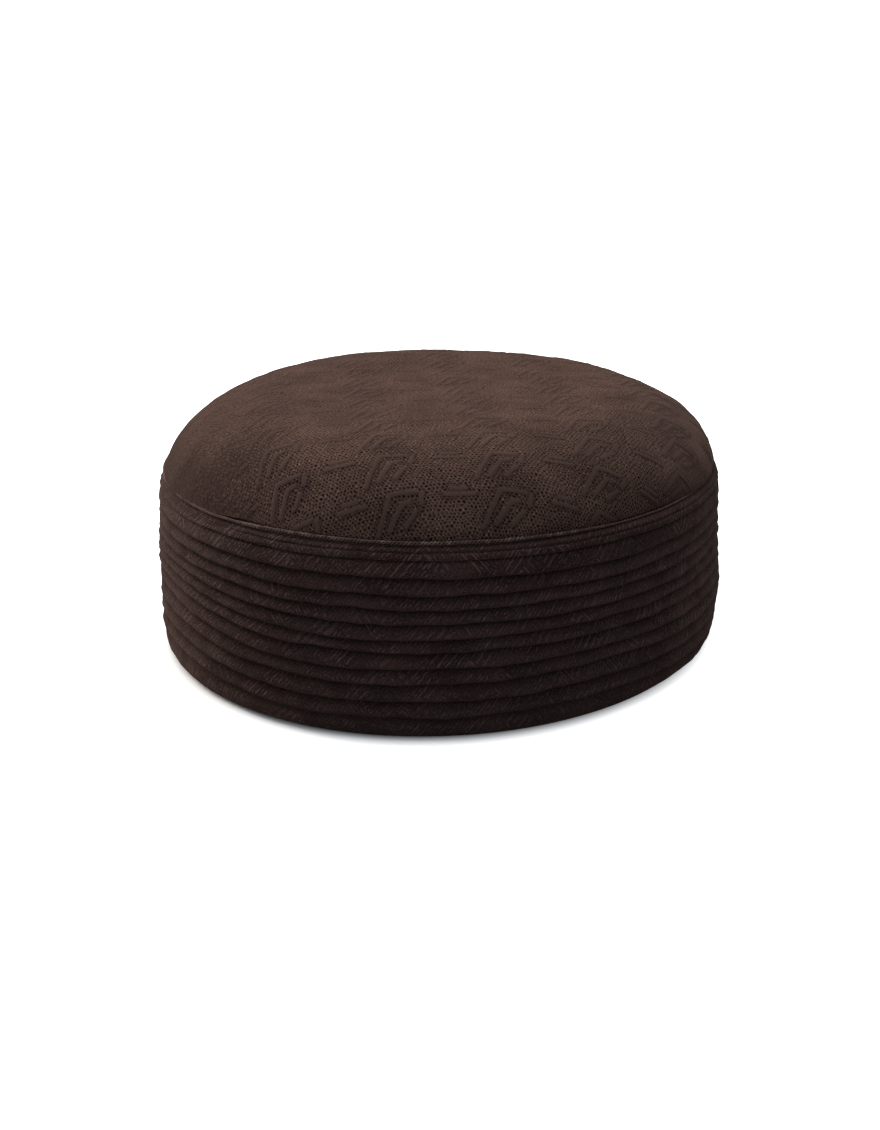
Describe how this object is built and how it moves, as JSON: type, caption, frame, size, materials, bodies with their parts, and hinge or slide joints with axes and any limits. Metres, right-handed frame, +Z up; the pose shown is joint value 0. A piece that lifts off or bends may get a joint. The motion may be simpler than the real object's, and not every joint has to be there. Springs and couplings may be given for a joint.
{
  "type": "prayer cap",
  "caption": "Round flat-topped cloth cap, free standing: tucked upright side band, softly padded crown let into its top edge, thin welt along the seam, open hollow below.",
  "frame": {"origin": "middle of the cap's plan, on the surface that the band's lower edge rests on", "axes": "+Z up, -Y towards the forehead, +X to the wearer's left"},
  "size_m": [0.1792, 0.2032, 0.0779],
  "materials": {
    "band_cloth": "dark brown tone-on-tone jacquard, stitched into tucks",
    "crown_cloth": "dark brown tone-on-tone jacquard with raised bars on a pin-dot ground",
    "welt_cloth": "the same cloth, rolled and twisted into a thin edge"
  },
  "bodies": {
    "root": {"band": "band_cloth", "crown": "crown_cloth", "seam_welt": "welt_cloth"}
  },
  "joints": []
}
